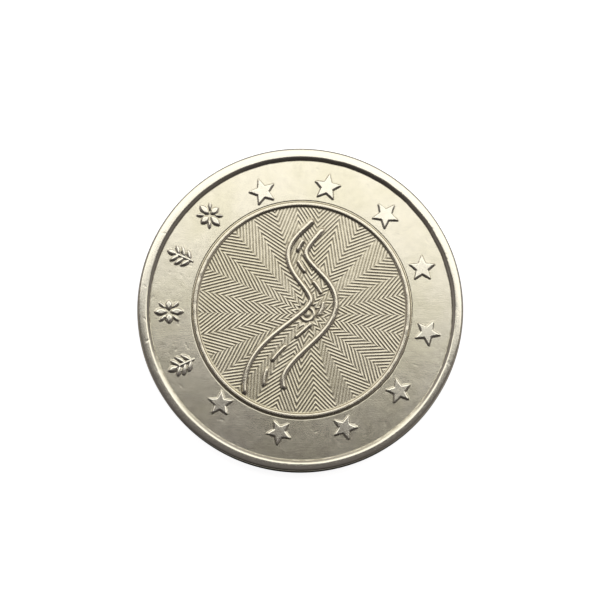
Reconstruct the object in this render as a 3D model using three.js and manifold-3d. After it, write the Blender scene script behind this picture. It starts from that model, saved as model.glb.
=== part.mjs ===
// Struck two-piece metal token: a core disc pressed into an outer ring.
// Units are millimetres. +Z points out of the obverse, +Y to the top of its design.
// The origin is the centre of the circle that the token rests on, under the reverse rim.
import * as THREE from "three";
import { mergeVertices } from "three/addons/utils/BufferGeometryUtils.js";
import Module from "manifold-3d";

// ---------------------------------------------------------------- driving dimensions

const DIAMETER = 25.0; // over the plain edge
const THICKNESS = 1.85; // over both rims
const RIM_HEIGHT = 0.18; // rim land above the field, on each face
const RIM_FOOT_R = 11.57; // where the rim rises out of the field
const RIM_LAND_IN_R = 11.9; // the flat top of the rim runs from here
const RIM_LAND_OUT_R = 12.2; // to here
const EDGE_ROUND = 0.22; // height of the rounding between rim and edge

const CORE_X = 0.11; // the core sits a little off the middle of the ring
const CORE_Y = -0.07;
const SEAM_R = 8.48; // middle of the press joint between core and ring
const PRESS_GAP = 0.02; // radial gap left between the two solids
const LOCK_DEPTH = 0.12; // tongue of the ring in the groove of the core
const LOCK_HEIGHT = 0.19; // flat of that tongue
const LOCK_FLANK = 0.13; // height of each of its sloping sides

const BORDER_IN_R = 7.95; // raised border line round the core
const BORDER_CREST_R = 8.21;
const BORDER_HEIGHT = 0.13;

const STRIKE_X = 0.25; // the stars sit this far off the middle of the blank
const STRIKE_Y = -0.03;
const STAR_PITCH_R = 9.65; // circle through the centres of the stars
const STAR_TIP_R = 0.96; // flat top of a star
const STAR_WAIST_R = 0.43;
const STAR_HEIGHT = 0.09;
const STAR_FLANK = 0.07; // width of its sloping sides
const STAR_FIRST_DEG = 109; // obverse stars, clockwise from here
const STAR_STEP_DEG = 30;
const OBVERSE_STARS = 9;
const REVERSE_STARS = 12;

const ORNAMENT_DEG = [133.9, 156.1, 181.4, 205.7]; // four small ornaments fill the rest of the circle
const ORNAMENT_R = 10.06;
const ORNAMENT_HEIGHT = 0.11;

const ROAD_HEIGHT = 0.14; // raised lines of the central device
const ROAD_LINE = 0.36; // width of its two edge lines
const ROAD_DASH = 0.26; // width of its centre dashes
const ROAD_DASHES = 7;

const COMPASS_LONG_R = 5.0; // reverse device: an eight-pointed rose
const COMPASS_SHORT_R = 3.1;
const COMPASS_WAIST_R = 1.05;
const COMPASS_HEIGHT = 0.14;

const FACETS = 96; // flats round the token

// ---------------------------------------------------------------- shared helpers

const wasm = await Module();
wasm.setup();

const FIELD_Z = THICKNESS - RIM_HEIGHT; // height of the obverse field
const MID_Z = THICKNESS / 2;
const ROOT = 0.4; // how far a raised feature reaches down into its blank

const rad = (deg) => (deg * Math.PI) / 180;

function solidOf(geometry) {
  const bare = geometry.index ? geometry.toNonIndexed() : geometry.clone();
  for (const name of Object.keys(bare.attributes))
    if (name !== "position") bare.deleteAttribute(name);
  const merged = mergeVertices(bare, 1e-4);
  return new wasm.Manifold(
    new wasm.Mesh({
      numProp: 3,
      vertProperties: new Float32Array(merged.attributes.position.array),
      triVerts: new Uint32Array(merged.index.array),
    }),
  );
}

function geometryOf(solid) {
  const mesh = solid.getMesh();
  const stride = mesh.numProp;
  const place = new Float32Array(mesh.numVert * 3);
  for (let i = 0; i < mesh.numVert; i++)
    place.set(mesh.vertProperties.subarray(i * stride, i * stride + 3), i * 3);
  const geometry = new THREE.BufferGeometry();
  geometry.setAttribute("position", new THREE.BufferAttribute(place, 3));
  geometry.setIndex(new THREE.BufferAttribute(new Uint32Array(mesh.triVerts), 1));
  geometry.computeVertexNormals();
  return geometry;
}

// A body of revolution about Z from a [radius, height] profile, listed clockwise.
function turned(profile) {
  const points = profile.map(([r, z]) => new THREE.Vector2(r, z)).reverse();
  return solidOf(new THREE.LatheGeometry(points, FACETS).rotateX(Math.PI / 2));
}

// A profile that is the same on both faces: its upper half, from the inside out, then that half mirrored.
function bothFaces(upper) {
  const lower = upper.map(([r, z]) => [r, THICKNESS - z]).reverse();
  return [...upper, ...lower];
}

// A raised feature with a flat top and sloping sides, standing on the obverse field.
function raised(shape, height, flank) {
  const geometry = new THREE.ExtrudeGeometry(shape, {
    depth: ROOT,
    steps: 1,
    curveSegments: 6,
    bevelEnabled: true,
    bevelThickness: height,
    bevelSize: flank,
    bevelSegments: 1,
  });
  return geometry.translate(0, 0, FIELD_Z - ROOT);
}

function placed(geometry, x, y, turnDeg) {
  return geometry.rotateZ(rad(turnDeg)).translate(x, y, 0);
}

// The obverse turned over about the X axis becomes the reverse.
function onReverse(geometry) {
  return geometry.rotateX(Math.PI).translate(0, 0, THICKNESS);
}

function join(base, geometries) {
  return geometries.reduce((sum, g) => sum.add(solidOf(g)), base);
}

// ---------------------------------------------------------------- outlines

function pointedShape(points, tipR, waistR) {
  const shape = new THREE.Shape();
  for (let i = 0; i < 2 * points; i++) {
    const r = i % 2 ? waistR : tipR;
    const a = (Math.PI * i) / points;
    shape[i ? "lineTo" : "moveTo"](r * Math.cos(a), r * Math.sin(a));
  }
  shape.closePath();
  return shape;
}

// A leaf from its foot to its tip, as wide as `width` in the middle.
function leafShape(x0, y0, x1, y1, width) {
  const steps = 5;
  const dx = x1 - x0;
  const dy = y1 - y0;
  const length = Math.hypot(dx, dy);
  const nx = -dy / length;
  const ny = dx / length;
  const outline = [];
  for (let i = 0; i <= steps; i++) {
    const t = i / steps;
    outline.push([t, (width / 2) * Math.sin(Math.PI * t) ** 0.8 + 0.02]);
  }
  for (let i = steps; i >= 0; i--) {
    const t = i / steps;
    outline.push([t, -(width / 2) * Math.sin(Math.PI * t) ** 0.8 - 0.02]);
  }
  const shape = new THREE.Shape();
  outline.forEach(([t, w], i) =>
    shape[i ? "lineTo" : "moveTo"](x0 + dx * t + nx * w, y0 + dy * t + ny * w),
  );
  shape.closePath();
  return shape;
}

// A band of constant width along a list of points.
function bandShape(path, width) {
  const side = (s) =>
    path.map(([x, y], i) => {
      const [ax, ay] = path[Math.max(i - 1, 0)];
      const [bx, by] = path[Math.min(i + 1, path.length - 1)];
      const length = Math.hypot(bx - ax, by - ay);
      return [
        x - (((by - ay) / length) * s * width) / 2,
        y + (((bx - ax) / length) * s * width) / 2,
      ];
    });
  const shape = new THREE.Shape();
  [...side(-1), ...side(1).reverse()].forEach(([x, y], i) =>
    shape[i ? "lineTo" : "moveTo"](x, y),
  );
  shape.closePath();
  return shape;
}

// Ornaments lie with their length along +X, which is turned to the radius.
// A sprig: a stem with three pairs of leaves and a leaf at its tip.
function sprig() {
  const leaves = [leafShape(-1.02, 0, 0.42, 0, 0.14), leafShape(0.36, 0, 1.06, 0, 0.34)];
  for (const [foot, reach, rise] of [
    [-0.78, 0.46, 0.66],
    [-0.3, 0.46, 0.74],
    [0.16, 0.42, 0.62],
  ])
    for (const s of [1, -1])
      leaves.push(leafShape(foot, 0.05 * s, foot + reach, rise * s, 0.24));
  return leaves;
}

// A blossom: four open petals with a dart between each two.
function blossom() {
  const leaves = [];
  for (let i = 0; i < 4; i++) {
    const a = rad(90 * i);
    const reach = i % 2 ? 0.86 : 1.06;
    leaves.push(
      leafShape(0.16 * Math.cos(a), 0.16 * Math.sin(a), reach * Math.cos(a), reach * Math.sin(a), 0.44),
    );
    const b = rad(90 * i + 45);
    leaves.push(
      leafShape(0.42 * Math.cos(b), 0.42 * Math.sin(b), 0.98 * Math.cos(b), 0.98 * Math.sin(b), 0.16),
    );
  }
  return leaves;
}

// The central device: a road that winds away up the core and narrows as it goes.
// t runs from 0 at its near end to 1 at its far end.
function roadPoint(t) {
  const y = -6.2 + 12.6 * t;
  const swing = 2.3 - 1.5 * t;
  const turns = 2 * Math.PI * (0.75 * t + 0.6 * t * t) - 2;
  return [0.14 * y + 0.2 + swing * Math.sin(turns), y];
}

function roadHalf(t) {
  return 1.5 - 0.98 * t;
}

function roadSide(side, from, to, steps) {
  const path = [];
  for (let i = 0; i <= steps; i++) {
    const t = from + ((to - from) * i) / steps;
    const [ax, ay] = roadPoint(t - 0.002);
    const [bx, by] = roadPoint(t + 0.002);
    const [x, y] = roadPoint(t);
    const length = Math.hypot(bx - ax, by - ay);
    const half = side * roadHalf(t);
    path.push([x - ((by - ay) / length) * half, y + ((bx - ax) / length) * half]);
  }
  return path;
}

// ---------------------------------------------------------------- outer ring

const EDGE_R = DIAMETER / 2;
const ringBore = SEAM_R + PRESS_GAP / 2;
const coreEdge = SEAM_R - PRESS_GAP / 2;

// The ring is a turned blank, and the hole for the core is punched a little off its middle.
const ringBlank = turned(
  bothFaces([
    [0, FIELD_Z],
    [RIM_FOOT_R, FIELD_Z],
    [RIM_FOOT_R + 0.07, FIELD_Z + 0.37 * RIM_HEIGHT],
    [RIM_FOOT_R + 0.17, FIELD_Z + 0.74 * RIM_HEIGHT],
    [RIM_FOOT_R + 0.27, FIELD_Z + 0.95 * RIM_HEIGHT],
    [RIM_LAND_IN_R, THICKNESS],
    [RIM_LAND_OUT_R, THICKNESS],
    [EDGE_R - 0.13, THICKNESS - 0.24 * EDGE_ROUND],
    [EDGE_R - 0.03, THICKNESS - 0.6 * EDGE_ROUND],
    [EDGE_R, THICKNESS - EDGE_ROUND],
  ]),
);
const punch = turned(
  bothFaces([
    [0, THICKNESS + 1],
    [ringBore + 0.03, THICKNESS + 1],
    [ringBore + 0.03, FIELD_Z],
    [ringBore, FIELD_Z - 0.03],
    [ringBore, MID_Z + LOCK_HEIGHT / 2 + LOCK_FLANK],
    [ringBore - LOCK_DEPTH, MID_Z + LOCK_HEIGHT / 2],
  ]),
).translate([CORE_X, CORE_Y, 0]);

const starShape = pointedShape(5, STAR_TIP_R, STAR_WAIST_R);
const ringRelief = [];
for (let i = 0; i < OBVERSE_STARS; i++) {
  const deg = STAR_FIRST_DEG - STAR_STEP_DEG * i;
  ringRelief.push(
    placed(
      raised(starShape, STAR_HEIGHT, STAR_FLANK),
      STRIKE_X + STAR_PITCH_R * Math.cos(rad(deg)),
      STRIKE_Y + STAR_PITCH_R * Math.sin(rad(deg)),
      deg,
    ),
  );
}
ORNAMENT_DEG.forEach((deg, i) => {
  for (const shape of i % 2 ? sprig() : blossom())
    ringRelief.push(
      placed(
        raised(shape, ORNAMENT_HEIGHT, 0.04),
        ORNAMENT_R * Math.cos(rad(deg)),
        ORNAMENT_R * Math.sin(rad(deg)),
        deg,
      ),
    );
});
for (let i = 0; i < REVERSE_STARS; i++) {
  const deg = 90 - (360 / REVERSE_STARS) * i;
  ringRelief.push(
    onReverse(
      placed(
        raised(starShape, STAR_HEIGHT, STAR_FLANK),
        STAR_PITCH_R * Math.cos(rad(deg)),
        STAR_PITCH_R * Math.sin(rad(deg)),
        deg,
      ),
    ),
  );
}
const ringSolid = join(ringBlank.subtract(punch), ringRelief);

// ---------------------------------------------------------------- core

const coreProfile = [
  [0, FIELD_Z],
  [BORDER_IN_R, FIELD_Z],
  [BORDER_IN_R + 0.14, FIELD_Z + 0.8 * BORDER_HEIGHT],
  [BORDER_CREST_R, FIELD_Z + BORDER_HEIGHT],
  [BORDER_CREST_R + 0.12, FIELD_Z + 0.8 * BORDER_HEIGHT],
  [coreEdge - 0.03, FIELD_Z],
  [coreEdge, FIELD_Z - 0.03],
  [coreEdge, MID_Z + LOCK_HEIGHT / 2 + LOCK_FLANK + PRESS_GAP],
  [coreEdge - LOCK_DEPTH, MID_Z + LOCK_HEIGHT / 2 + PRESS_GAP],
];
const coreRelief = [];
for (const side of [1, -1])
  coreRelief.push(
    raised(bandShape(roadSide(side, 0, 1, 40), ROAD_LINE - 0.12), ROAD_HEIGHT, 0.06),
  );
for (let i = 0; i < ROAD_DASHES; i++) {
  const from = 0.03 + 0.955 * (i / ROAD_DASHES) ** 0.95;
  const to = from + 0.085 * (1 - (0.45 * i) / ROAD_DASHES);
  const middle = roadSide(0, from, to, 4);
  coreRelief.push(raised(bandShape(middle, ROAD_DASH - 0.1), ROAD_HEIGHT - 0.02, 0.05));
}
for (const [r, turn] of [
  [COMPASS_SHORT_R, 45],
  [COMPASS_LONG_R, 0],
])
  coreRelief.push(
    onReverse(placed(raised(pointedShape(4, r, COMPASS_WAIST_R), COMPASS_HEIGHT, 0.06), CORE_X, -CORE_Y, turn)),
  );
const coreSolid = join(turned(bothFaces(coreProfile)).translate([CORE_X, CORE_Y, 0]), coreRelief);

// ---------------------------------------------------------------- the token

const token = new THREE.Group();
token.name = "token";

const ring = new THREE.Mesh(
  geometryOf(ringSolid),
  new THREE.MeshStandardMaterial({ color: 0xbdb8a4, roughness: 0.36, metalness: 1 }),
);
ring.name = "outer_ring";

const core = new THREE.Mesh(
  geometryOf(coreSolid),
  new THREE.MeshStandardMaterial({ color: 0xb7ae92, roughness: 0.4, metalness: 1 }),
);
core.name = "core";

token.add(ring, core);

export default token;
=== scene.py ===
# Looks of the two-piece struck token: dense relief meshes for the ring and the core, their metals, floor, light and camera.
import math

import bpy
import numpy as np
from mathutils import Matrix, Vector


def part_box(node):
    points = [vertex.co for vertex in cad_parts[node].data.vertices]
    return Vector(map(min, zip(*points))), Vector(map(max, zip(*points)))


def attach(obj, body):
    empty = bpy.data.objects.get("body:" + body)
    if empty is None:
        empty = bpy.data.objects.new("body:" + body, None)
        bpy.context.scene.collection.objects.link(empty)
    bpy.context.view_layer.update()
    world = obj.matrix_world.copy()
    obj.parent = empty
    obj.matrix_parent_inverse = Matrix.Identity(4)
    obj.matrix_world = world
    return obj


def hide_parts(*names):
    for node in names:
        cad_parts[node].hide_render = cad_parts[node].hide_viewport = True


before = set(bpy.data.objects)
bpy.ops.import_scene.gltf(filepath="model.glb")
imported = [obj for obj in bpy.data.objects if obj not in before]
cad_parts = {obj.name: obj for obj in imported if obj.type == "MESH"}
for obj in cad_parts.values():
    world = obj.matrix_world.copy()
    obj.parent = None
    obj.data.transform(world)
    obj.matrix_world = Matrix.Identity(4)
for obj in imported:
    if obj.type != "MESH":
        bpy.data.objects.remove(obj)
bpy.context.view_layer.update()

MM = 0.001
ring_low, ring_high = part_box("outer_ring")
T = (ring_high[2] - ring_low[2]) / MM  # thickness over the rims, mm
R = (ring_high[0] - ring_low[0]) / 2 / MM  # outer radius, mm

# ---------------------------------------------------------------- sizes, mm
RIM_H = 0.18
FIELD = T - RIM_H
RIM_FOOT, LAND_OUT, EDGE_ROUND = 11.57, 12.2, 0.22
RIM_C = (0.05, -0.045)  # middle of the circle inside the obverse rim
CORE_C = (0.11, -0.07)  # the core sits a little off the middle of the ring
SEAM, SEAM_GAP = 8.48, 0.01
BORDER_IN, BORDER_H = 7.95, 0.13
STRIKE = (0.25, -0.03)
STAR_R, STAR_TIP, STAR_WAIST, STAR_H = 9.65, 0.96, 0.43, 0.09
ORNAMENT_DEG, ORNAMENT_R, ORNAMENT_H = (133.9, 156.1, 181.4, 205.7), 10.06, 0.11
ROAD_H, ROAD_LINE, ROAD_DASH, ROAD_DASHES_N = 0.14, 0.38, 0.30, 7

# zigzag ground of the core
GROUND_C = (0.53, -0.43)  # its centre sits off the middle of the core
GROUND_N = 15
GROUND_TURN = 0.198
GROUND_K = 1.3853  # outward corner radius over inward corner radius
GROUND_PITCH = 0.3762  # along an inward corner
GROUND_DEPTH = 0.0205


# ---------------------------------------------------------------- small maths
def smooth(t):
    t = np.clip(t, 0.0, 1.0)
    return t * t * (3 - 2 * t)


class Noise:
    """Smooth value noise on a seeded lattice, about -1 to 1."""

    def __init__(self, seed, size=256):
        self.v = np.random.default_rng(seed).uniform(-1, 1, (size, size))
        self.n = size

    def __call__(self, x, y):
        xi, yi = np.floor(x).astype(int), np.floor(y).astype(int)
        fx, fy = smooth(x - xi), smooth(y - yi)
        n, v = self.n, self.v
        a, b = v[xi % n, yi % n], v[(xi + 1) % n, yi % n]
        c, d = v[xi % n, (yi + 1) % n], v[(xi + 1) % n, (yi + 1) % n]
        return (a * (1 - fx) + b * fx) * (1 - fy) + (c * (1 - fx) + d * fx) * fy


def polygon_distance(x, y, points):
    """Signed distance to a closed outline, negative inside."""
    best = np.full(x.shape, 1e9)
    inside = np.zeros(x.shape, bool)
    for i in range(len(points)):
        ax, ay = points[i]
        bx, by = points[(i + 1) % len(points)]
        ex, ey = bx - ax, by - ay
        wx, wy = x - ax, y - ay
        t = np.clip((wx * ex + wy * ey) / max(ex * ex + ey * ey, 1e-12), 0, 1)
        best = np.minimum(best, (wx - ex * t) ** 2 + (wy - ey * t) ** 2)
        if ay != by:
            inside ^= ((ay > y) != (by > y)) & (x < ex * (y - ay) / (by - ay) + ax)
    best = np.sqrt(best)
    return np.where(inside, -best, best)


def path_distance(x, y, points):
    """Distance to an open path."""
    best = np.full(x.shape, 1e9)
    for (ax, ay), (bx, by) in zip(points[:-1], points[1:]):
        ex, ey = bx - ax, by - ay
        wx, wy = x - ax, y - ay
        t = np.clip((wx * ex + wy * ey) / max(ex * ex + ey * ey, 1e-12), 0, 1)
        best = np.minimum(best, (wx - ex * t) ** 2 + (wy - ey * t) ** 2)
    return np.sqrt(best)


# ---------------------------------------------------------------- outlines
def pointed(points, tip, waist):
    return [
        (
            (waist if i % 2 else tip) * math.cos(math.pi * i / points),
            (waist if i % 2 else tip) * math.sin(math.pi * i / points),
        )
        for i in range(2 * points)
    ]


def leaf(x0, y0, x1, y1, width, steps=12):
    dx, dy = x1 - x0, y1 - y0
    length = math.hypot(dx, dy)
    nx, ny = -dy / length, dx / length
    half = [
        (i / steps, width / 2 * math.sin(math.pi * i / steps) ** 0.8 + 0.02)
        for i in range(steps + 1)
    ]
    half = [(t, w) for t, w in half] + [(t, -w) for t, w in reversed(half)]
    return [(x0 + dx * t + nx * w, y0 + dy * t + ny * w) for t, w in half]


def sprig():
    leaves = [leaf(-1.02, 0, 0.42, 0, 0.14), leaf(0.36, 0, 1.06, 0, 0.34)]
    for foot, reach, rise in ((-0.78, 0.46, 0.66), (-0.3, 0.46, 0.74), (0.16, 0.42, 0.62)):
        for s in (1, -1):
            leaves.append(leaf(foot, 0.05 * s, foot + reach, rise * s, 0.24))
    return leaves


def blossom():
    leaves = []
    for i in range(4):
        a, b = math.radians(90 * i), math.radians(90 * i + 45)
        reach = 0.86 if i % 2 else 1.06
        leaves.append(leaf(0.16 * math.cos(a), 0.16 * math.sin(a), reach * math.cos(a), reach * math.sin(a), 0.44))
        leaves.append(leaf(0.42 * math.cos(b), 0.42 * math.sin(b), 0.98 * math.cos(b), 0.98 * math.sin(b), 0.16))
    return leaves


def road_point(t):
    y = -6.2 + 12.6 * t
    swing = 2.3 - 1.5 * t
    turns = 2 * math.pi * (0.75 * t + 0.6 * t * t) - 2
    return 0.14 * y + 0.2 + swing * math.sin(turns), y


def road_half(t):
    return 1.5 - 0.98 * t


def road_side(side, start, end, steps):
    path = []
    for i in range(steps + 1):
        t = start + (end - start) * i / steps
        (ax, ay), (bx, by), (x, y) = road_point(t - 0.002), road_point(t + 0.002), road_point(t)
        length = math.hypot(bx - ax, by - ay)
        half = side * road_half(t)
        path.append((x - (by - ay) / length * half, y + (bx - ax) / length * half))
    return path


def placed(x, y, cx, cy, deg):
    """Points of the face in the own axes of a feature at (cx, cy), turned by deg."""
    c, s = math.cos(math.radians(deg)), math.sin(math.radians(deg))
    dx, dy = x - cx, y - cy
    return dx * c + dy * s, -dx * s + dy * c


# ---------------------------------------------------------------- relief of the ring
STAR = pointed(5, STAR_TIP, STAR_WAIST)
STAR_FLANK = 0.07
ORNAMENT_FLANK = 0.05


def ring_features(reverse):
    found = []
    if reverse:
        for i in range(12):
            a = 90 - 30 * i
            found.append((STAR_R * math.cos(math.radians(a)), STAR_R * math.sin(math.radians(a)), a, [STAR], STAR_H, STAR_FLANK, 0.0))
        return found
    for i in range(9):
        a = 109 - 30 * i
        size = 1.0 + 0.045 * math.sin(math.radians(a))
        outline = [(size * px, size * py) for px, py in STAR]
        found.append((STRIKE[0] + STAR_R * math.cos(math.radians(a)), STRIKE[1] + STAR_R * math.sin(math.radians(a)), a, [outline], STAR_H, STAR_FLANK, 0.0))
    for i, a in enumerate(ORNAMENT_DEG):
        found.append((ORNAMENT_R * math.cos(math.radians(a)), ORNAMENT_R * math.sin(math.radians(a)), a, sprig() if i % 2 else blossom(), ORNAMENT_H, ORNAMENT_FLANK, 0.07))
    return found


def feature_distance(x, y, feature):
    cx, cy, deg, outlines, height, flank, dome = feature
    u, v = placed(x, y, cx, cy, deg)
    best = np.full(x.shape, 9.0)
    near = np.hypot(u, v) < 1.7
    if near.any():
        un, vn = u[near], v[near]
        d = np.full(un.shape, 9.0)
        for outline in outlines:
            d = np.minimum(d, polygon_distance(un, vn, outline))
        best[near] = d
    return best


def snap(x, y, distance, levels, reach):
    """Moves grid points that lie almost on an edge of the relief onto it, so that the edge runs clean through the mesh."""
    e = 1e-3
    d = distance(x, y)
    near = np.abs(d) < 1.0
    gx, gy = np.zeros_like(x), np.zeros_like(y)
    gx[near] = (distance(x[near] + e, y[near]) - distance(x[near] - e, y[near])) / (2 * e)
    gy[near] = (distance(x[near], y[near] + e) - distance(x[near], y[near] - e)) / (2 * e)
    off = np.min(np.stack([np.abs(d - l) for l in levels]), axis=0)
    which = np.argmin(np.stack([np.abs(d - l) for l in levels]), axis=0)
    move = (off < reach) & near
    target = np.array(levels)[which]
    step = np.where(move, d - target, 0.0)
    return x - gx * step, y - gy * step


field_noise, fine_noise, rim_noise, seam_noise = Noise(3), Noise(5), Noise(11), Noise(17)


def unevenness(x, y, seed=0.0):
    """The slight waviness of a struck field, mm."""
    return 0.0013 * field_noise(x / 1.3 + 40 + seed, y / 1.3 + 40) + 0.0006 * fine_noise(x / 0.42 + 90, y / 0.42 + 90 + seed)


# ---------------------------------------------------------------- mesh building
def build_mesh(name, place_mm, quads, triangles, floats, uvs):
    """A smooth mesh object from arrays. uvs holds one pair per corner, the quads' corners first."""
    mesh = bpy.data.meshes.new(name)
    nq, nt = len(quads), len(triangles)
    mesh.vertices.add(len(place_mm))
    mesh.vertices.foreach_set("co", (place_mm * MM).astype(np.float32).ravel())
    corners = np.concatenate([quads.ravel(), triangles.ravel()]).astype(np.int32)
    mesh.loops.add(len(corners))
    mesh.loops.foreach_set("vertex_index", corners)
    starts = np.concatenate([np.arange(nq) * 4, nq * 4 + np.arange(nt) * 3]).astype(np.int32)
    mesh.polygons.add(nq + nt)
    mesh.polygons.foreach_set("loop_start", starts)
    mesh.polygons.foreach_set("use_smooth", np.ones(nq + nt, bool))
    mesh.update(calc_edges=True)
    for key, values in floats.items():
        layer = mesh.attributes.new(key, "FLOAT", "POINT")
        layer.data.foreach_set("value", np.clip(values, 0, 1).astype(np.float32))
    layer = mesh.uv_layers.new(name="OFBake")
    layer.data.foreach_set("uv", uvs.astype(np.float32).ravel())
    mesh.validate()
    made = bpy.data.objects.new(name, mesh)
    bpy.context.scene.collection.objects.link(made)
    return made


def disc_uv(x, y, side):
    """A face's place on its half of the map: 0 the obverse, 1 the reverse."""
    scale = 0.485 / (2 * R)
    return np.stack([0.25 + 0.5 * side + x * scale, 0.745 + y * scale], axis=-1)


def rim_height(r, inner):
    """Height of the face over the rim. inner is the radius as the rim's inner wall sees it: a steep wall, then a tight shoulder."""
    s = np.clip(inner - RIM_FOOT, 0, None)
    wall = np.where(s < 0.05, 0.5 * 0.78 * s * s / 0.05, 0.78 * (s - 0.025))
    turn = 0.225  # where the shoulder begins
    past = np.clip(s - turn, 0, 0.1)
    wall = np.where(s > turn, 0.78 * (turn - 0.025) + 0.78 * (past - past * past / 0.2), wall)
    z = FIELD + wall * RIM_H / (0.78 * (turn + 0.025))
    z = z - 0.012 * np.clip((r - 11.98) / 0.22, 0, 1) ** 2  # the land falls a little toward the edge
    out = np.clip((r - LAND_OUT) / (R - LAND_OUT), 0, 1)
    z = np.where(r > LAND_OUT, T - 0.012 - (EDGE_ROUND - 0.012) * (1 - np.sqrt(np.maximum(1 - out * out, 0))), z)
    return np.minimum(z, T)


def nicks(x, y, marks):
    """Small dents, each a short groove: x, y, half length, direction in degrees, half width, depth."""
    z = np.zeros_like(x)
    for mx, my, length, deg, width, depth in marks:
        near = (np.abs(x - mx) < length + 0.4) & (np.abs(y - my) < length + 0.4)
        if near.any():
            u, v = placed(x[near], y[near], mx, my, deg)
            z[near] -= depth * np.exp(-((np.maximum(np.abs(u) - length, 0) / width) ** 2) - (v / width) ** 2)
    return z


def scattered(seed, count, inner, outer, depth):
    rng = np.random.default_rng(seed)
    made = []
    for _ in range(count):
        a, r = rng.uniform(0, 2 * math.pi), rng.uniform(inner, outer)
        made.append((r * math.cos(a), r * math.sin(a), rng.uniform(0.02, 0.3) ** 1.3, rng.uniform(0, 180), rng.uniform(0.045, 0.07), depth * rng.uniform(0.3, 1.0)))
    return made


def seam_radius(angle):
    """The press joint wanders a little, most at the lower right. The angle is about the core's middle."""
    lift = 0.006 + 0.017 * np.maximum(0, np.cos(angle + math.radians(38))) ** 3
    return SEAM + lift * seam_noise(np.cos(angle) * SEAM / 0.33 + 60, np.sin(angle) * SEAM / 0.33 + 60)


def from_middle(angle, radius):
    """How far out from the token's middle a circle about the core's middle lies, in a direction."""
    dot = CORE_C[0] * np.cos(angle) + CORE_C[1] * np.sin(angle)
    return dot + np.sqrt(dot * dot + radius * radius - CORE_C[0] ** 2 - CORE_C[1] ** 2)


def seam_from_middle(angle, out):
    """The same for the joint itself, moved out by a little."""
    r = from_middle(angle, SEAM)
    for _ in range(2):
        own = np.arctan2(r * np.sin(angle) - CORE_C[1], r * np.cos(angle) - CORE_C[0])
        r = from_middle(angle, seam_radius(own) + out)
    return r


# ---------------------------------------------------------------- outer ring
def ring_face(reverse, columns):
    """Rows of the ring's face from the bore to the edge: x, y, z, cavity, wear, each rows by columns."""
    rows = [8.54, 8.59] + list(np.arange(8.645, 11.26, 0.05)) + [11.32, 11.38, 11.43, 11.475, 11.505]
    rows += [11.53, 11.55, 11.575, 11.6, 11.63, 11.66, 11.7, 11.74, 11.78, 11.82, 11.86, 11.9, 11.95, 12.03, 12.11, 12.19]
    rows += [12.25, 12.30, 12.345, 12.385, 12.42, 12.448, 12.47, 12.486, 12.496, 12.5]
    r = np.array(rows)[:, None] * np.ones(len(columns))[None]
    a = columns[None] * np.ones(len(rows))[:, None]
    r = r + (from_middle(a, SEAM) - SEAM) * np.clip((9.2 - r) / (9.2 - SEAM), 0, 1)
    flip = -1 if reverse else 1
    x, y = r * np.cos(a), r * np.sin(a) * flip  # in the face's own view
    features = ring_features(reverse)

    def distance(px, py):
        best = np.full(px.shape, 9.0)
        for f in features:
            best = np.minimum(best, feature_distance(px, py, f))
        return best

    zone = (r > 8.75) & (r < 11.3)
    zx, zy = snap(x[zone], y[zone], distance, [0.0, STAR_FLANK], 0.02)
    x[zone], y[zone] = zx, zy
    radius = np.hypot(x, y)
    slip = rim_noise(np.cos(a) * 12 / 0.9 + 70, np.sin(a) * 12 / 0.9 + 70 + 9 * reverse)
    slip = 0.016 * slip * (0.5 + 1.3 * np.maximum(0, np.cos(a - math.radians(52))))
    inner = (radius if reverse else np.hypot(x - RIM_C[0], y - RIM_C[1])) - slip
    z = rim_height(radius, inner)
    z = z + unevenness(x, y, 31.0 * reverse) * (1 - smooth((radius - 11.5) / 0.3))
    z = z + nicks(x, y, scattered(41 + reverse, 46, 8.9, 11.5, 0.004) + scattered(51 + reverse, 26, 11.8, 12.35, 0.010))
    # painted shade, partly dirt: this mask darkens the colour at the feet of the relief and of the rim wall, where
    # shade falls; at the joint it marks a dark joint
    recess_shade_and_grime = np.zeros_like(x)
    wear = np.zeros_like(x)
    for f in features:
        d = feature_distance(x, y, f)
        height, flank, dome = f[4:7]
        up = smooth((flank - d) / (flank + dome)) if dome else np.clip((flank - d) / flank, 0, 1)
        if not dome:  # a slightly rounded shoulder and foot
            up = 0.3 * smooth(up) + 0.7 * up
        z = z + height * up
        # painted shade along the foot of each star and ornament
        recess_shade_and_grime = np.maximum(recess_shade_and_grime, 0.8 * np.exp(-(((d - flank) / 0.035) ** 2)) * (d > 0))
        wear = np.maximum(wear, smooth(0.5 + (-d + 0.02) / 0.1) * (d < 0.2))
    # painted shade along the foot of the rim's inner wall
    recess_shade_and_grime = np.maximum(recess_shade_and_grime, 0.9 * np.exp(-(((inner - RIM_FOOT - 0.03) / 0.06) ** 2)))
    # a dark joint along the press joint
    joint = np.hypot(x - CORE_C[0], y - flip * CORE_C[1]) - SEAM
    recess_shade_and_grime = np.maximum(recess_shade_and_grime, 0.4 * np.exp(-np.maximum(joint - 0.01, 0) / 0.015))
    wear = np.maximum(wear, smooth((inner - 11.8) / 0.12) * (1 - smooth((radius - 12.25) / 0.2)))
    z = np.minimum(z, T)
    return x, y * flip, (T - z if reverse else z), recess_shade_and_grime, wear


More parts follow.
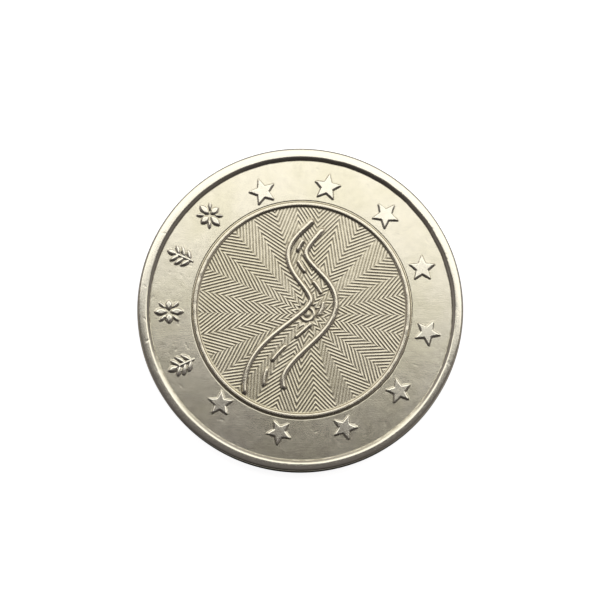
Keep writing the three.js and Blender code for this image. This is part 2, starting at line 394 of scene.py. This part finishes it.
def make_ring():
    count = 1200
    columns = 2 * np.pi * np.arange(count) / count
    top = ring_face(False, columns)
    low = ring_face(True, columns)
    ones = np.ones(count)
    def bore_row(out, z, recess_shade_and_grime):
        return ring_row(seam_from_middle(columns, SEAM_GAP / 2 + out), z, recess_shade_and_grime, 0)

    def ring_row(r, z, recess_shade_and_grime, wear):
        r = r * ones
        return r * np.cos(columns), r * np.sin(columns), z * ones, recess_shade_and_grime * ones, wear * ones

    mid = T / 2
    bore_up = [bore_row(0, mid - 0.225, 1), bore_row(-0.12, mid - 0.095, 1), bore_row(-0.12, mid + 0.095, 1),
               bore_row(0, mid + 0.225, 1), bore_row(0, FIELD - 0.05, 1), bore_row(0.003, FIELD - 0.01, 0.7),
               bore_row(0.014, FIELD - 0.001, 0.4)]
    side_noise = Noise(23)
    wall = []
    for z in np.linspace(T - EDGE_ROUND, EDGE_ROUND, 12)[1:-1]:
        dent = 0.003 * (1 + side_noise(columns * R / 0.6, z / 0.5 * ones))
        # painted shade: the edge wall's colour is darkened a little through the same mask
        wall.append(ring_row(R - dent * 0.5, z, 0.15, 0.1))
    bore_down = [bore_row(0.018, T - FIELD + 0.002, 0.8), bore_row(0.004, T - FIELD + 0.014, 1), bore_row(0, T - FIELD + 0.05, 1)]
    sections = [
        (1, bore_up),
        (0, [tuple(v[i] for v in top) for i in range(len(top[0]))]),
        (2, wall),
        (3, [tuple(v[i] for v in low) for i in reversed(range(len(low[0])))]),
        (1, bore_down),
    ]
    rows, zones = [], []
    for zone, part in sections:
        for row in part:
            rows.append(row)
            zones.append(zone)
    data = np.array(rows)  # rows, 5, columns
    n = len(rows)
    place = np.stack([data[:, 0], data[:, 1], data[:, 2]], axis=-1).reshape(-1, 3)
    i, j = np.meshgrid(np.arange(n), np.arange(count), indexing="ij")
    i2, j2 = (i + 1) % n, (j + 1) % count
    quads = np.stack([i * count + j, i * count + j2, i2 * count + j2, i2 * count + j], axis=-1)
    quads = quads[..., ::-1].reshape(-1, 4)
    # the map: each face's half, the edge and the bore as strips
    zones = np.array(zones)
    zi, zn = zones[i], zones[i2]
    kind = np.where((zi == 0) & (zn == 0), 0, np.where((zi == 3) & (zn == 3), 3, np.where((zi == 1) | (zn == 1), 1, 2))).reshape(-1)
    x, y = place[:, 0][quads], place[:, 1][quads]
    uv = disc_uv(x, y, 0.0)
    low_uv = disc_uv(x, -y, 1.0)
    uv[kind == 3] = low_uv[kind == 3]
    column = np.stack([j, j + 1, j + 1, j], axis=-1)[..., ::-1].reshape(-1, 4)
    strip = (j.reshape(-1) >= count // 2).astype(float)[:, None]
    along = (column - strip * (count // 2)) / (count / 2)
    depth = np.cumsum(np.r_[0, np.hypot(*(np.diff(np.array([[np.hypot(*rw[:2]).mean(), rw[2].mean()] for rw in rows]), axis=0).T))])
    row_of = np.stack([i, i, i + 1, i + 1], axis=-1)[..., ::-1].reshape(-1, 4)
    depth = np.r_[depth, depth[-1] + 0.7]
    down = depth[row_of]
    start_wall = depth[np.where(zones == 2)[0][0] - 1]
    wall_uv = np.stack([0.02 + 0.94 * along, 0.42 - 0.08 * strip - (down - start_wall) * 0.0245], axis=-1)
    uv[kind == 2] = wall_uv[kind == 2]
    around = np.where(down > 4, down - depth[-1], down)
    bore_uv = np.stack([0.02 + 0.66 * along, 0.2 - 0.08 * strip - around * 0.0165], axis=-1)
    uv[kind == 1] = bore_uv[kind == 1]
    floats = {"recess_shade_and_grime": data[:, 3].reshape(-1), "wear": data[:, 4].reshape(-1)}
    return build_mesh("outer_ring_relief", place, quads, np.zeros((0, 3), int), floats, uv.reshape(-1, 2))


# ---------------------------------------------------------------- core
ROAD_PATHS = [road_side(1, 0, 1, 90), road_side(-1, 0, 1, 90)]
ROAD_DASHES = []
for i in range(ROAD_DASHES_N):
    start = 0.03 + 0.955 * (i / ROAD_DASHES_N) ** 0.95
    ROAD_DASHES.append(road_side(0, start, start + 0.085 * (1 - 0.45 * i / ROAD_DASHES_N), 8))


def road_distance(x, y):
    """Distance to the edge of the road's lines, negative inside, the half width of the nearest line, and the distance to the dashes alone."""
    best = np.full(x.shape, 9.0)
    half = np.full(x.shape, ROAD_LINE / 2)
    dash = np.full(x.shape, 9.0)
    for paths, width in ((ROAD_PATHS, ROAD_LINE), (ROAD_DASHES, ROAD_DASH)):
        for path in paths:
            p = np.array(path)
            near = (
                (x > p[:, 0].min() - 0.6) & (x < p[:, 0].max() + 0.6)
                & (y > p[:, 1].min() - 0.6) & (y < p[:, 1].max() + 0.6)
            )
            if not near.any():
                continue
            d = path_distance(x[near], y[near], path) - width / 2
            closer = d < best[near]
            at = np.where(near)
            at = tuple(v[closer] for v in at)
            best[at] = d[closer]
            half[at] = width / 2
            if width == ROAD_DASH:
                dash[near] = np.minimum(dash[near], d)
    return best, half, dash


COMPASS = [(pointed(4, 3.1, 1.05), 45.0, 3.1), (pointed(4, 5.0, 1.05), 0.0, 5.0)]


def compass_height(x, y):
    """A rose of eight faceted points, highest along the middle of each."""
    z = np.zeros_like(x)
    best = np.full(x.shape, 9.0)
    for outline, turn, tip in COMPASS:
        u, v = placed(x, y, CORE_C[0], -CORE_C[1], turn)
        d = polygon_distance(u, v, outline)
        best = np.minimum(best, d)
        z = np.maximum(z, 0.14 * np.clip(-d / 0.5, 0, 1) ** 0.8)
    return z, best


def core_face(reverse, columns, phases):
    """Levels of the core's face from its middle to the border. Returns x, y, z, cavity, wear (levels by columns) and how many levels each column keeps."""
    sector = 2 * np.pi / GROUND_N
    half = sector / 2
    a = (columns - GROUND_TURN) % sector
    a = np.minimum(a, sector - a)
    nx, ny = GROUND_K * math.sin(half), -(GROUND_K * math.cos(half) - 1)
    length = math.hypot(nx, ny)
    nx, ny = nx / length, ny / length
    g = nx / (np.cos(a) * nx + np.sin(a) * ny)
    cx, cy = GROUND_C
    ex, ey = np.cos(columns), np.sin(columns)
    ox, oy = cx - CORE_C[0], cy - CORE_C[1]
    dot = ox * ex + oy * ey
    reach = -dot + np.sqrt(dot * dot + BORDER_IN**2 - ox * ox - oy * oy)
    # a small rosette in the middle, then the zigzags
    levels = [(u, h, 0.0) for u, h in ((0.1, 0.004), (0.2, -0.004), (0.29, -0.024), (0.35, -0.03), (0.41, 0.0), (0.46, 0.03), (0.52, 0.034), (0.57, 0.01), (0.63, -0.026), (0.69, -0.03), (0.74, -0.02))]
    u0 = 0.8
    for k in range(26):
        for phase, h in phases:
            levels.append((u0 + GROUND_PITCH * (k + phase), h, 1.0))
    u = np.array([v[0] for v in levels])[:, None]
    h = np.array([v[1] for v in levels])[:, None] * np.ones(len(columns))[None]
    zig = smooth((u - 0.62) / 0.25)
    radius = u * (1 + (g[None] - 1) * zig)
    keep = radius < reach[None] - 0.018
    kept = np.where(keep.all(0), len(levels), keep.argmin(0))
    radius = np.minimum(radius, reach[None])
    x, y = cx + radius * ex[None], cy + radius * ey[None]
    flip = -1 if reverse else 1
    y = y * flip
    if reverse:
        distance = lambda px, py: compass_height(px, py)[1]
    else:
        distance = lambda px, py: road_distance(px, py)[0]
    inner = (radius < reach[None] - 0.06) & (u > 0.1)
    sx, sy = snap(x[inner], y[inner], distance, [0.0], 0.017)
    x[inner], y[inner] = sx, sy
    fade = smooth((reach[None] - radius) / 0.03) * (0.85 + 0.35 * field_noise(x / 0.9 + 140, y / 0.9 + 140) + 0.15 * fine_noise(x / 0.25 + 140, y / 0.25 + 140))
    ground = h * fade
    if reverse:
        up, d = compass_height(x, y)
        top = np.where(d < 0, 0.03 + up, 0)
        high = smooth(-d / 0.05 + 0.4)
    else:
        d, w, dash = road_distance(x, y)
        ground = ground * smooth((dash - 0.01) / 0.11)
        inside = np.clip(1 + d / w, 0, 1)  # 0 on the line's middle, 1 at its side
        tall = np.where(w > 0.15, ROAD_H, ROAD_H - 0.02)
        top = np.where(d < 0, tall * np.sqrt(np.maximum(1 - inside**2, 0)) ** 0.9, 0)
        high = smooth(-d / 0.1)
    z = FIELD + np.maximum(ground, np.where(d < 0, top, -9)) + 0.6 * unevenness(x, y, 57.0 + 31 * reverse)
    wave = np.clip(h / (GROUND_DEPTH / 2), -1, 1)
    # painted shade: the colour is darkened in the zigzag grooves, round the foot of the road's lines and at the foot of
    # the border, where shade falls
    recess_shade_and_grime = np.where(d < 0, 0, smooth((0.35 - wave) / 1.1) * 0.8)
    recess_shade_and_grime = np.maximum(recess_shade_and_grime, np.exp(-(((d - 0.03) / 0.08) ** 2)) * (d > -0.02))
    recess_shade_and_grime = np.maximum(recess_shade_and_grime, 0.5 * np.exp(-(((reach[None] - radius) / 0.04) ** 2)))
    wear = np.where(d < 0, high, smooth(wave) * 0.6)
    return x, y * flip, (T - z if reverse else z), recess_shade_and_grime, wear, kept, reach


def core_half(reverse, columns, phases):
    """One face of the core with its border, down to the top of the press joint. Vertices, quads, triangles and the rows of the border, which end in the joint."""
    x, y, z, recess_shade_and_grime, wear, kept, reach = core_face(reverse, columns, phases)
    nl, nc = x.shape
    cx, cy = GROUND_C
    bx, by = cx + reach * np.cos(columns), cy + reach * np.sin(columns)
    angle = np.arctan2(by - CORE_C[1], bx - CORE_C[0])
    ex, ey = np.cos(angle), np.sin(angle)
    # vertex numbers: the middle, then the kept grid points, then the border rows
    number = np.full((nl, nc), -1)
    inside = np.arange(nl)[:, None] < kept[None]
    number[inside] = 1 + np.arange(inside.sum())
    total = 1 + inside.sum()
    border_first = total
    number[~inside] = (border_first + np.arange(nc)[None] * np.ones(nl, int)[:, None])[~inside]
    place = [np.array([[cx, cy, FIELD + 0.006 if not reverse else T - FIELD - 0.006]])]
    place.append(np.stack([x[inside], y[inside], z[inside]], axis=-1))
    shade_grime_rows, wr = [np.array([0.2]), recess_shade_and_grime[inside]], [np.array([0.5]), wear[inside]]
    seam = seam_radius(angle) - SEAM_GAP / 2
    rows = [BORDER_IN, 7.98, 8.01, 8.04, 8.07, 8.1, 8.135, 8.175, 8.22, 8.265, 8.305, 8.335, 8.365, 8.395, 8.425, 8.45]
    ends = [(-0.014, -0.001), (-0.003, -0.01), (0.0, -0.05)]
    wander = fine_noise(ex * 20 + 60, ey * 20 + 60)
    for r in rows:
        up = smooth((r - BORDER_IN - 0.01) / 0.16) * (1 - smooth((r - 8.275) / 0.17))
        level = FIELD + (BORDER_H + 0.006 * wander) * up
        place.append(np.stack([CORE_C[0] + r * ex, CORE_C[1] + r * ey, T - level if reverse else level], axis=-1))
        # painted shade at the foot of the border; the rows at the joint below mark a dark joint
        shade_grime_rows.append(np.full(nc, 0.4 if r < 8.0 else 0.0))
        wr.append(np.full(nc, smooth((up - 0.7) / 0.3)))
    for out, down in ends:
        level = np.full(nc, FIELD + down)
        place.append(np.stack([CORE_C[0] + (seam + out) * ex, CORE_C[1] + (seam + out) * ey, T - level if reverse else level], axis=-1))
        shade_grime_rows.append(np.full(nc, 0.4 if down > -0.005 else 0.9))
        wr.append(np.zeros(nc))
    border_rows = len(rows) + len(ends)
    place = np.concatenate(place)
    # faces of the grid
    i, j = np.meshgrid(np.arange(nl - 1), np.arange(nc), indexing="ij")
    j2 = (j + 1) % nc
    q = np.stack([number[i, j], number[i, j2], number[i + 1, j2], number[i + 1, j]], axis=-1).reshape(-1, 4)
    left = q[:, 0] == q[:, 3]  # column j already ended
    right = q[:, 1] == q[:, 2]
    quads = [q[~left & ~right]]
    triangles = [q[left & ~right][:, [0, 1, 2]], q[right & ~left][:, [0, 1, 3]]]
    fan = np.stack([np.zeros(nc, int), number[0, (np.arange(nc) + 1) % nc], number[0, np.arange(nc)]], axis=-1)[:, ::-1]
    triangles.append(fan)
    i, j = np.meshgrid(np.arange(border_rows - 1), np.arange(nc), indexing="ij")
    j2 = (j + 1) % nc
    at = lambda a, b: border_first + a * nc + b
    quads.append(np.stack([at(i, j), at(i, j2), at(i + 1, j2), at(i + 1, j)], axis=-1).reshape(-1, 4))
    quads, triangles = np.concatenate(quads), np.concatenate(triangles)
    # wound to face up on the obverse
    quads = quads[:, ::-1]
    triangles[: -nc] = triangles[: -nc][:, ::-1]
    if reverse:
        quads, triangles = quads[:, ::-1], triangles[:, ::-1]
    last = border_first + (border_rows - 1) * nc + np.arange(nc)
    return place, quads, triangles, np.concatenate(shade_grime_rows), np.concatenate(wr), last, angle


def make_core():
    count = 720
    columns = 2 * np.pi * np.arange(count) / count + GROUND_TURN
    fine, coarse = (
        [(k / n, GROUND_DEPTH / 2 * math.cos(2 * math.pi * (k / n - 0.1))) for k in range(n)] for n in (6, 4)
    )
    tp, tq, tt, tc, tw, t_last, angle = core_half(False, columns, fine)
    lp, lq, lt, lc, lw, l_last, _ = core_half(True, columns, coarse)
    shift = len(tp)
    lq, lt, l_last = lq + shift, lt + shift, l_last + shift
    seam = seam_radius(angle) - SEAM_GAP / 2
    mid = T / 2
    rows = [(seam, mid + 0.245), (seam - 0.12, mid + 0.115), (seam - 0.12, mid - 0.115), (seam, mid - 0.245)]
    place = [tp, lp]
    loops = [t_last]
    base = shift + len(lp)
    for k, (r, z) in enumerate(rows):
        place.append(np.stack([CORE_C[0] + r * np.cos(angle), CORE_C[1] + r * np.sin(angle), np.full(count, z)], axis=-1))
        loops.append(base + k * count + np.arange(count))
    loops.append(l_last)
    edge = []
    nxt = (np.arange(count) + 1) % count
    for a, b in zip(loops[:-1], loops[1:]):
        edge.append(np.stack([a, b, b[nxt], a[nxt]], axis=-1))
    edge = np.concatenate(edge)
    place = np.concatenate(place)
    quads = np.concatenate([tq, lq, edge])
    triangles = np.concatenate([tt, lt])
    extra = np.ones(4 * count)
    floats = {"recess_shade_and_grime": np.concatenate([tc, lc, extra]), "wear": np.concatenate([tw, lw, 0 * extra])}
    # the map
    def face_uv(ids, side):
        return disc_uv(place[ids][..., 0] * 1.4, place[ids][..., 1] * (1.4 if side == 0 else -1.4), side)
    uq = np.concatenate([face_uv(tq, 0), face_uv(lq, 1)])
    strip_i = np.repeat(np.arange(5), count)
    strip_j = np.tile(np.arange(count), 5)
    su = np.stack([strip_j, strip_j, strip_j + 1, strip_j + 1], axis=-1) / count
    sv = np.stack([strip_i, strip_i + 1, strip_i + 1, strip_i], axis=-1) * 0.012
    ue = np.stack([0.02 + 0.96 * su, 0.3 - sv], axis=-1)
    ut = np.concatenate([face_uv(tt, 0), face_uv(lt, 1)])
    uv = np.concatenate([uq.reshape(-1, 2), ue.reshape(-1, 2), ut.reshape(-1, 2)])
    return build_mesh("core_relief", place, quads, triangles, floats, uv)


# ---------------------------------------------------------------- metals
def metal(name, clean, worn, shade_grime_tone, rough, grain, seed):
    """A struck nickel alloy: dull skin with fine pits and hairlines, bright where it rubs, and darkened by the recess
    mask: painted shade in the recesses and at the feet of the relief, with some dirt and dark joints.
    """
    made = bpy.data.materials.new(name)
    made.use_nodes = True
    nodes, links = made.node_tree.nodes, made.node_tree.links
    nodes.clear()
    out = nodes.new("ShaderNodeOutputMaterial")
    shader = nodes.new("ShaderNodeBsdfPrincipled")
    links.new(shader.outputs[0], out.inputs[0])
    shader.inputs["Metallic"].default_value = 1.0
    place = nodes.new("ShaderNodeTexCoord").outputs["Object"]

    def texture(kind, scale, stretch=(1, 1, 1), turn=0.0, **settings):
        mapping = nodes.new("ShaderNodeMapping")
        mapping.inputs["Scale"].default_value = tuple(1000 * s for s in stretch)
        mapping.inputs["Rotation"].default_value = (0, 0, turn)
        mapping.inputs["Location"].default_value = (seed, seed * 0.7, 0)
        links.new(place, mapping.inputs[0])
        t = nodes.new(kind)
        t.inputs["Scale"].default_value = scale
        for key, value in settings.items():
            t.inputs[key].default_value = value
        links.new(mapping.outputs[0], t.inputs["Vector"])
        return t.outputs[0]

    def spread(value, low, high, to_low=0.0, to_high=1.0):
        m = nodes.new("ShaderNodeMapRange")
        m.interpolation_type = "SMOOTHSTEP"
        for key, v in zip(("From Min", "From Max", "To Min", "To Max"), (low, high, to_low, to_high)):
            m.inputs[key].default_value = v
        links.new(value, m.inputs["Value"])
        return m.outputs[0]

    def maths(kind, a, b, clamp=False):
        m = nodes.new("ShaderNodeMath")
        m.operation = kind
        m.use_clamp = clamp
        for i, v in enumerate((a, b)):
            if isinstance(v, (int, float)):
                m.inputs[i].default_value = v
            else:
                links.new(v, m.inputs[i])
        return m.outputs[0]

    def blend(factor, a, b):
        m = nodes.new("ShaderNodeMix")
        m.data_type = "RGBA"
        links.new(factor, m.inputs["Factor"])
        for key, v in (("A", a), ("B", b)):
            socket = next(s for s in m.inputs if s.name == key and s.type == "RGBA")
            if isinstance(v, tuple):
                socket.default_value = (*v, 1)
            else:
                links.new(v, socket)
        return next(s for s in m.outputs if s.type == "RGBA")

    def attribute(key):
        a = nodes.new("ShaderNodeAttribute")
        a.attribute_name = key
        return a.outputs["Fac"]

    recess_shade_and_grime, wear = attribute("recess_shade_and_grime"), attribute("wear")
    cloud = texture("ShaderNodeTexNoise", 0.28, Detail=3.0, Roughness=0.55)
    mottle = texture("ShaderNodeTexNoise", 2.2, Detail=4.0, Roughness=0.6)
    pits = texture("ShaderNodeTexNoise", 9.0, Detail=3.0, Roughness=0.6)
    hair_a = texture("ShaderNodeTexNoise", 1.0, stretch=(0.7, 16, 1), turn=0.6, Detail=3.0, Roughness=0.6)
    hair_b = texture("ShaderNodeTexNoise", 1.0, stretch=(13, 0.6, 1), turn=0.25, Detail=3.0, Roughness=0.6)

    shade_and_dirt = maths("MULTIPLY", recess_shade_and_grime, spread(mottle, 0.3, 0.65, 0.45, 1.0))
    speck = spread(pits, 0.62, 0.78)
    skin = blend(spread(cloud, 0.35, 0.7), clean, tuple(0.93 * c for c in clean[:2]) + (0.88 * clean[2],))
    skin = blend(maths("MULTIPLY", wear, 0.75), skin, worn)
    skin = blend(maths("MULTIPLY", speck, 0.12), skin, shade_grime_tone)
    # painted shade, partly dirt: the colour goes dark where the recess mask is high
    skin = blend(maths("MULTIPLY", shade_and_dirt, 0.8), skin, shade_grime_tone)
    links.new(skin, shader.inputs["Base Color"])

    roughness = maths("ADD", spread(mottle, 0.25, 0.75, rough - 0.02, rough + 0.02), maths("MULTIPLY", shade_and_dirt, 0.06))
    links.new(roughness, shader.inputs["Roughness"])

    height = maths("ADD", maths("MULTIPLY", pits, 0.0035 * grain), maths("MULTIPLY", mottle, 0.003 * grain))
    height = maths("ADD", height, maths("MULTIPLY", hair_a, 0.0016 * grain))
    height = maths("ADD", height, maths("MULTIPLY", hair_b, 0.0016 * grain))
    bump = nodes.new("ShaderNodeBump")
    bump.inputs["Strength"].default_value = 1.0
    bump.inputs["Distance"].default_value = MM
    links.new(height, bump.inputs["Height"])
    links.new(bump.outputs[0], shader.inputs["Normal"])
    return made


ring = make_ring()
core = make_core()
for piece, node, slot in ((ring, "outer_ring", "ring_metal"), (core, "core", "core_metal")):
    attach(piece, "root")
    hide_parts(node)
ring.data.materials.append(metal("nickel_ring", (0.76, 0.725, 0.60), (0.86, 0.83, 0.715), (0.13, 0.105, 0.06), 0.185, 0.5, 3.0))
core.data.materials.append(metal("nickel_core", (0.70, 0.652, 0.505), (0.815, 0.768, 0.635), (0.14, 0.11, 0.07), 0.22, 0.7, 11.0))


# ---------------------------------------------------------------- floor
def plane(name, width, depth, centre):
    mesh = bpy.data.meshes.new(name)
    w, d = width / 2, depth / 2
    mesh.from_pydata([(-w, -d, 0), (w, -d, 0), (w, d, 0), (-w, d, 0)], [], [(0, 1, 2, 3)])
    made = bpy.data.objects.new(name, mesh)
    bpy.context.scene.collection.objects.link(made)
    made.location = centre
    return made


floor = plane("floor", 4.0, 4.0, (0, 0, 0))
paper = bpy.data.materials.new("floor_white")
paper.use_nodes = True
pn, pl = paper.node_tree.nodes, paper.node_tree.links
white = pn["Principled BSDF"]
white.inputs["Base Color"].default_value = (0.55, 0.55, 0.55, 1)
white.inputs["Roughness"].default_value = 0.9
white.inputs["Specular IOR Level"].default_value = 0.1
white.inputs["Emission Color"].default_value = (1.0, 1.0, 1.0, 1)
white.inputs["Emission Strength"].default_value = 0.9
# painted shadow: the floor the token mirrors is greyer, and painted darkest close round it as a contact shadow
mirrored_floor_shaded = pn.new("ShaderNodeBsdfDiffuse")
away = pn.new("ShaderNodeVectorMath")
away.operation = "LENGTH"
pl.new(pn.new("ShaderNodeTexCoord").outputs["Object"], away.inputs[0])
contact_shadow_ramp = pn.new("ShaderNodeMapRange")
contact_shadow_ramp.interpolation_type = "SMOOTHSTEP"
for key, v in zip(("From Min", "From Max", "To Min", "To Max"), (0.0134, 0.0185, 0.06, 0.42)):
    contact_shadow_ramp.inputs[key].default_value = v
pl.new(away.outputs["Value"], contact_shadow_ramp.inputs["Value"])
pl.new(contact_shadow_ramp.outputs[0], mirrored_floor_shaded.inputs["Color"])
seen, mixed = pn.new("ShaderNodeLightPath"), pn.new("ShaderNodeMixShader")
pl.new(seen.outputs["Is Camera Ray"], mixed.inputs[0])
pl.new(mirrored_floor_shaded.outputs[0], mixed.inputs[1])
pl.new(white.outputs[0], mixed.inputs[2])
pl.new(mixed.outputs[0], pn["Material Output"].inputs[0])
floor.data.materials.append(paper)

# ---------------------------------------------------------------- light
scene = bpy.context.scene
scene.view_settings.view_transform = "Standard"
scene.view_settings.look = "None"
scene.view_settings.exposure = 0.0


def card(name, towards, distance, width, height):
    light = bpy.data.lights.new(name, "AREA")
    light.shape = "RECTANGLE"
    light.size, light.size_y = width, height
    made = bpy.data.objects.new(name, light)
    scene.collection.objects.link(made)
    away = Vector(towards).normalized()
    made.location = away * distance
    made.rotation_mode = "QUATERNION"
    made.rotation_quaternion = away.to_track_quat("Z", "Y")
    return made


def lit(light, radiance, colour):
    """Sets a card's brightness, in scene units per steradian, and its tint."""
    light.data.energy = radiance * math.pi * light.data.size * light.data.size_y
    light.data.color = colour


KEY_TILT, KEY_TURN = math.radians(38.6), math.radians(8)
key_towards = (math.sin(KEY_TILT) * math.sin(KEY_TURN), math.sin(KEY_TILT) * math.cos(KEY_TURN), math.cos(KEY_TILT))
lit(card("key_top", key_towards, 0.60, 1.4, 0.72), 1.34, (1.0, 0.985, 0.95))

world = bpy.data.worlds.new("studio")
scene.world = world
world.use_nodes = True
wn, wl = world.node_tree.nodes, world.node_tree.links
wn.clear()
world_out = wn.new("ShaderNodeOutputWorld")


def ramp(value, low, high, to_low, to_high):
    m = wn.new("ShaderNodeMapRange")
    m.interpolation_type = "SMOOTHSTEP"
    for key, v in zip(("From Min", "From Max", "To Min", "To Max"), (low, high, to_low, to_high)):
        m.inputs[key].default_value = v
    wl.new(value, m.inputs["Value"])
    return m.outputs[0]


# the room: dim overhead, paler toward the horizon, and darkest in front of the token
room = wn.new("ShaderNodeBackground")
room.inputs["Color"].default_value = (0.95, 0.87, 0.89, 1)
direction = wn.new("ShaderNodeTexCoord").outputs["Generated"]
split = wn.new("ShaderNodeSeparateXYZ")
wl.new(direction, split.inputs[0])
behind = wn.new("ShaderNodeVectorMath")
behind.operation = "DOT_PRODUCT"
wl.new(direction, behind.inputs[0])
behind.inputs[1].default_value = (0.2, 1.0, 0.0)
glow = wn.new("ShaderNodeMath")
glow.operation = "MULTIPLY_ADD"
wl.new(ramp(split.outputs["Z"], 0.10, 0.52, 1.0, 0.0), glow.inputs[0])
wl.new(ramp(behind.outputs["Value"], -0.8, -0.2, 0.0, 0.36), glow.inputs[1])
wl.new(ramp(behind.outputs["Value"], -0.9, -0.4, 0.045, 0.135), glow.inputs[2])
wl.new(glow.outputs[0], room.inputs["Strength"])
backdrop = wn.new("ShaderNodeBackground")  # what the camera sees behind the floor
backdrop.inputs["Color"].default_value = (1, 1, 1, 1)
backdrop.inputs["Strength"].default_value = 1.0
seen, mixed = wn.new("ShaderNodeLightPath"), wn.new("ShaderNodeMixShader")
wl.new(seen.outputs["Is Camera Ray"], mixed.inputs[0])
wl.new(room.outputs[0], mixed.inputs[1])
wl.new(backdrop.outputs[0], mixed.inputs[2])
wl.new(mixed.outputs[0], world_out.inputs[0])

# ---------------------------------------------------------------- camera
lens = bpy.data.cameras.new("photo_view")
lens.sensor_width = 36.0
DISTANCE, ELEVATION = 0.165, math.radians(82)
PIXELS_PER_MM = 12.985
lens.lens = 36.0 * (DISTANCE / MM) * PIXELS_PER_MM / 600
lens.shift_x = -0.2 / 600
lens.shift_y = 9.75 / 600
lens.clip_start, lens.clip_end = 0.01, 10
camera = bpy.data.objects.new("photo_view", lens)
scene.collection.objects.link(camera)
back = Vector((0, -math.cos(ELEVATION), math.sin(ELEVATION)))
camera.location = Vector((0, 0, T / 2 * MM)) + back * DISTANCE
camera.rotation_mode = "QUATERNION"
camera.rotation_quaternion = (-back).to_track_quat("-Z", "Y")
scene.camera = camera
